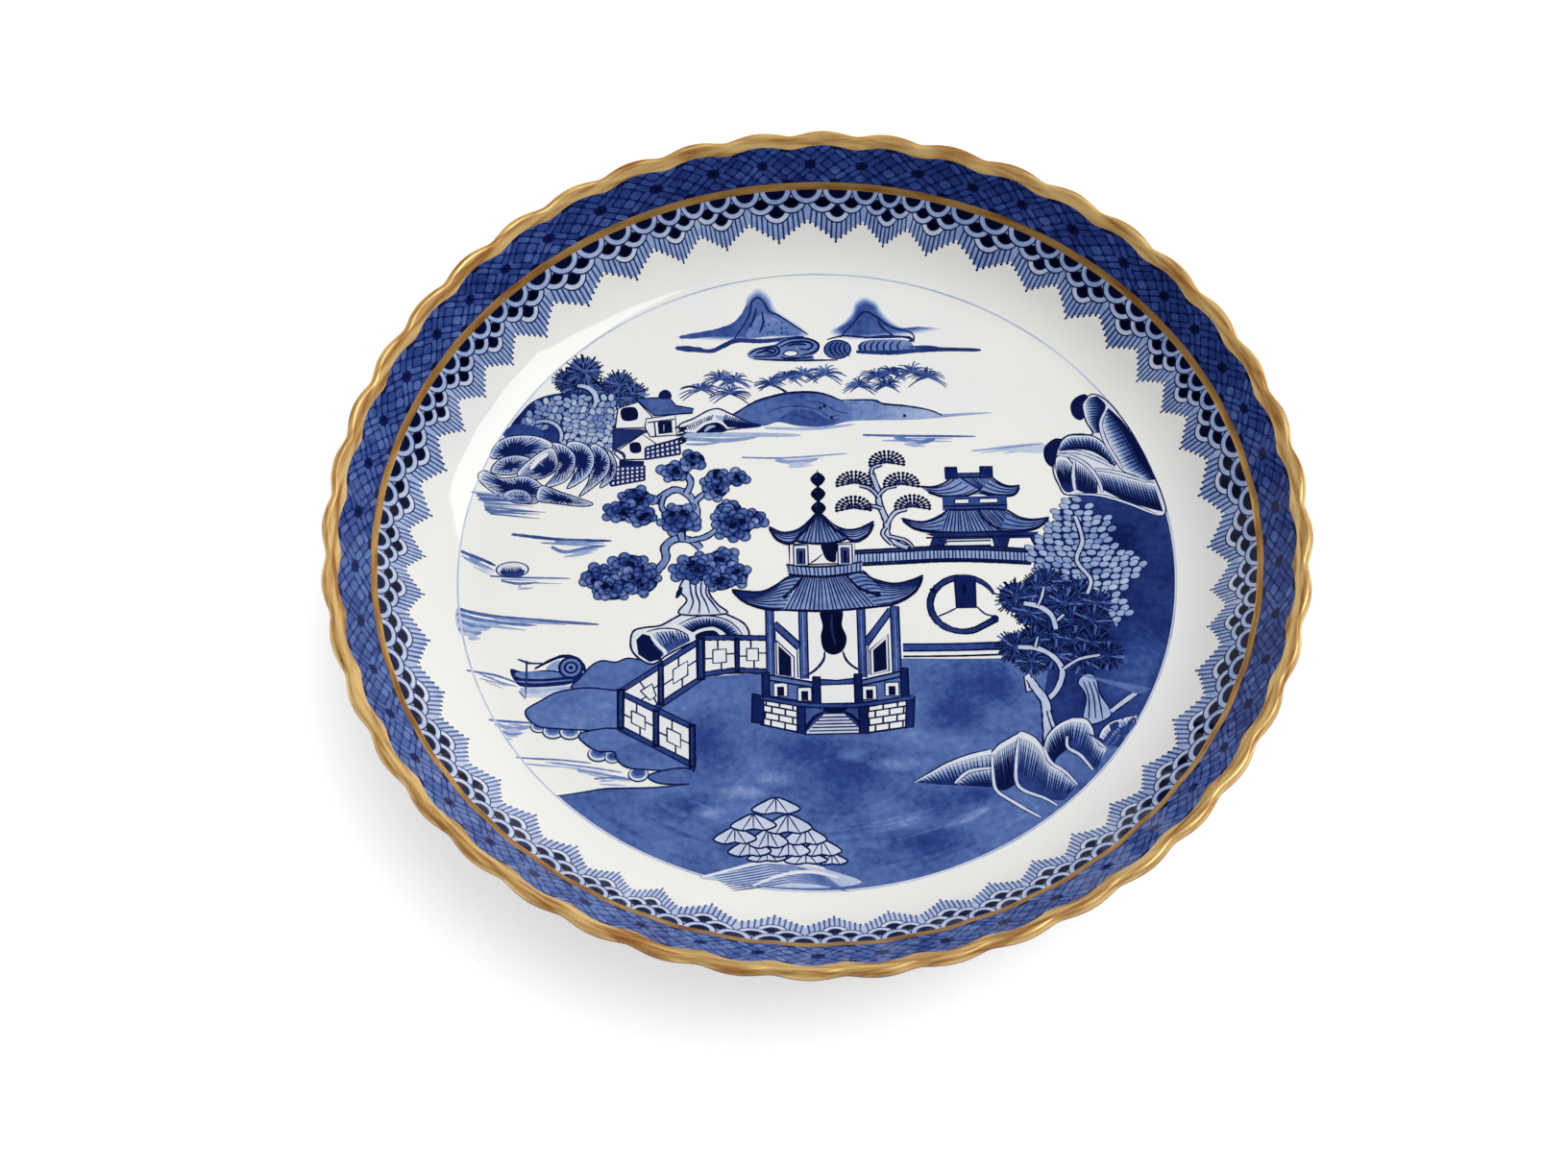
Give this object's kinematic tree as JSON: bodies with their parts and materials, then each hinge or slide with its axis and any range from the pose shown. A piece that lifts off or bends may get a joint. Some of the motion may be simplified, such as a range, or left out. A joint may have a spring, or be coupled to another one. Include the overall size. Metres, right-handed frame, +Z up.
{
  "type": "fluted porcelain saucer",
  "caption": "Fluted porcelain saucer on a foot ring, with a gilded scalloped lip, blue painted borders and a flat well that holds a cup.",
  "frame": {"origin": "on the axis of the dish, at the level that the foot ring stands on", "axes": "+Z up along the axis of the dish; the painted scene is upright along +Y"},
  "size_m": [0.1408, 0.1408, 0.0198],
  "materials": {
    "porcelain": "warm white hard-paste porcelain under a clear gloss glaze, bare on the foot's standing edge",
    "cobalt": "cobalt blue painted under the same gloss glaze, from pale washes to near black",
    "gilding": "burnished gilding over the glaze"
  },
  "bodies": {
    "root": {"porcelain_body": "porcelain", "gilt_rim": "gilding", "diaper_border": "cobalt", "gilt_line": "gilding", "scale_border": "cobalt", "well_line": "cobalt"}
  },
  "joints": []
}
